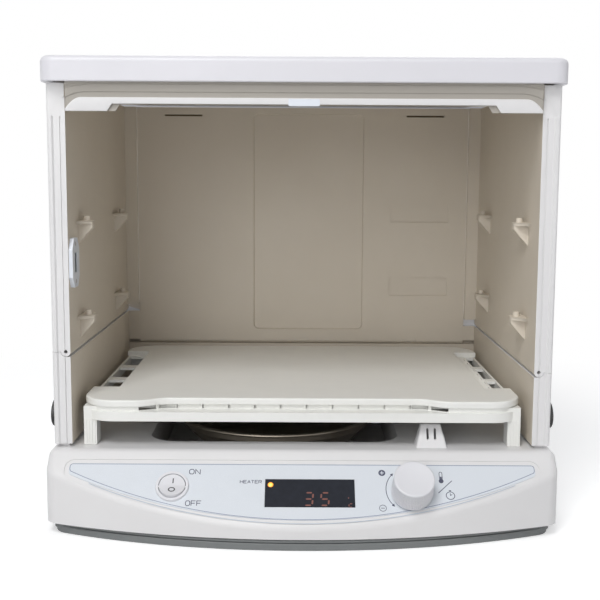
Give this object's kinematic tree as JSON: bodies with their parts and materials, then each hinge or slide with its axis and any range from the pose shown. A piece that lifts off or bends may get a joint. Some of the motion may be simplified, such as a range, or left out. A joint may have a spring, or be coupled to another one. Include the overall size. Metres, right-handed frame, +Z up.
{
  "type": "folding dough proofer",
  "caption": "Folding dough proofer: a heated base with a sloped control panel, slatted tray and water pan, walls that fold down flat, and a lift-off lid.",
  "frame": {"origin": "on the table plane, under the middle of the whole outline seen from above", "axes": "+X to the right along the front, +Y to the back, +Z up"},
  "size_m": [0.434, 0.3704, 0.3984],
  "materials": {
    "shell_white": "satin moulded white plastic",
    "lining_grey": "matt moulded light grey plastic",
    "tray_white": "satin moulded white plastic",
    "skirt_grey": "matt moulded grey plastic",
    "foot_rubber": "soft black rubber",
    "steel": "plain steel",
    "pan_metal": "spun aluminium",
    "pale_plastic": "smooth pale plastic",
    "black_plastic": "moulded black plastic",
    "magnet": "dark sintered magnet",
    "panel_print": "pale blue-white printed film",
    "window_dark": "smoked display window",
    "digit_red": "dark red digit module",
    "lamp_amber": "amber lamp lens",
    "board_green": "circuit board laminate",
    "contact_brass": "plated contact metal"
  },
  "bodies": {
    "base": {"base_shell": "shell_white", "bottom_cover": "skirt_grey", "rubber_feet": "foot_rubber", "bottom_screws": "steel", "left_wall_upstand": "shell_white", "right_wall_upstand": "shell_white", "left_hinge_pin": "steel", "right_hinge_pin": "steel", "back_wall_upstand": "shell_white", "back_hinge_pin": "steel", "water_pan": "pan_metal", "heater_ring": "steel", "heater_clips": "steel", "thermal_cutout": "black_plastic", "sensor_guard": "shell_white", "temperature_sensor": "contact_brass", "left_side_cap": "black_plastic", "right_side_cap": "black_plastic", "panel_overlay": "panel_print", "display_window": "window_dark", "display_digits": "digit_red", "heater_lamp": "lamp_amber", "display_board": "board_green", "display_screws": "steel", "encoder_body": "black_plastic", "encoder_nut": "steel", "switch_housing": "pale_plastic", "rocker_pin": "steel", "switch_terminals": "contact_brass", "control_board": "board_green", "power_transformer": "black_plastic", "heater_relay": "black_plastic", "power_inlet": "black_plastic", "inlet_pins": "contact_brass"},
    "lid": {"lid_cover": "shell_white", "lid_liner": "lining_grey", "front_beam": "lining_grey", "latch_pad": "pale_plastic"},
    "left_wall": {"left_side_wall": "shell_white", "catch_body": "pale_plastic", "catch_magnet": "magnet", "catch_screws": "steel"},
    "right_wall": {"right_side_wall": "shell_white"},
    "rear_wall": {"back_wall": "shell_white"},
    "tray": {"slatted_tray": "tray_white"},
    "knob_rotor": {"encoder_rotor": "black_plastic"},
    "knob": {"encoder_shaft": "steel", "control_knob": "pale_plastic"},
    "rocker": {"power_rocker": "pale_plastic"}
  },
  "joints": [
    {"name": "lid_lift", "type": "slide", "parent": "base", "child": "lid", "axis": [0, 0, 1], "range_m": [0, 0.12]},
    {"name": "tray_pull", "type": "slide", "parent": "base", "child": "tray", "axis": [0, -1, 0], "range_m": [0, 0.3]},
    {"name": "left_wall_fold", "type": "hinge", "parent": "base", "child": "left_wall", "pos_m": [-0.2015, 0, 0.1524], "axis": [0, 1, 0], "range_deg": [0, 90]},
    {"name": "right_wall_fold", "type": "hinge", "parent": "base", "child": "right_wall", "pos_m": [0.2015, 0, 0.1364], "axis": [0, -1, 0], "range_deg": [0, 90]},
    {"name": "back_wall_fold", "type": "hinge", "parent": "base", "child": "rear_wall", "pos_m": [0, 0.17719, 0.1155], "axis": [1, 0, 0], "range_deg": [0, 90]},
    {"name": "knob_turn", "type": "hinge", "parent": "base", "child": "knob_rotor", "pos_m": [0.091, -0.15767, 0.04214], "axis": [0, -0.6756, 0.7373], "continuous": true},
    {"name": "knob_press", "type": "slide", "parent": "knob_rotor", "child": "knob", "axis": [0, 0.6756, -0.7373], "range_m": [0, 0.001], "stiffness_N_per_m": 400, "springref_m": -0.002},
    {"name": "power_switch", "type": "hinge", "parent": "base", "child": "rocker", "pos_m": [-0.108, -0.15435, 0.04518], "axis": [1, 0, 0], "range_deg": [0, 14]}
  ]
}
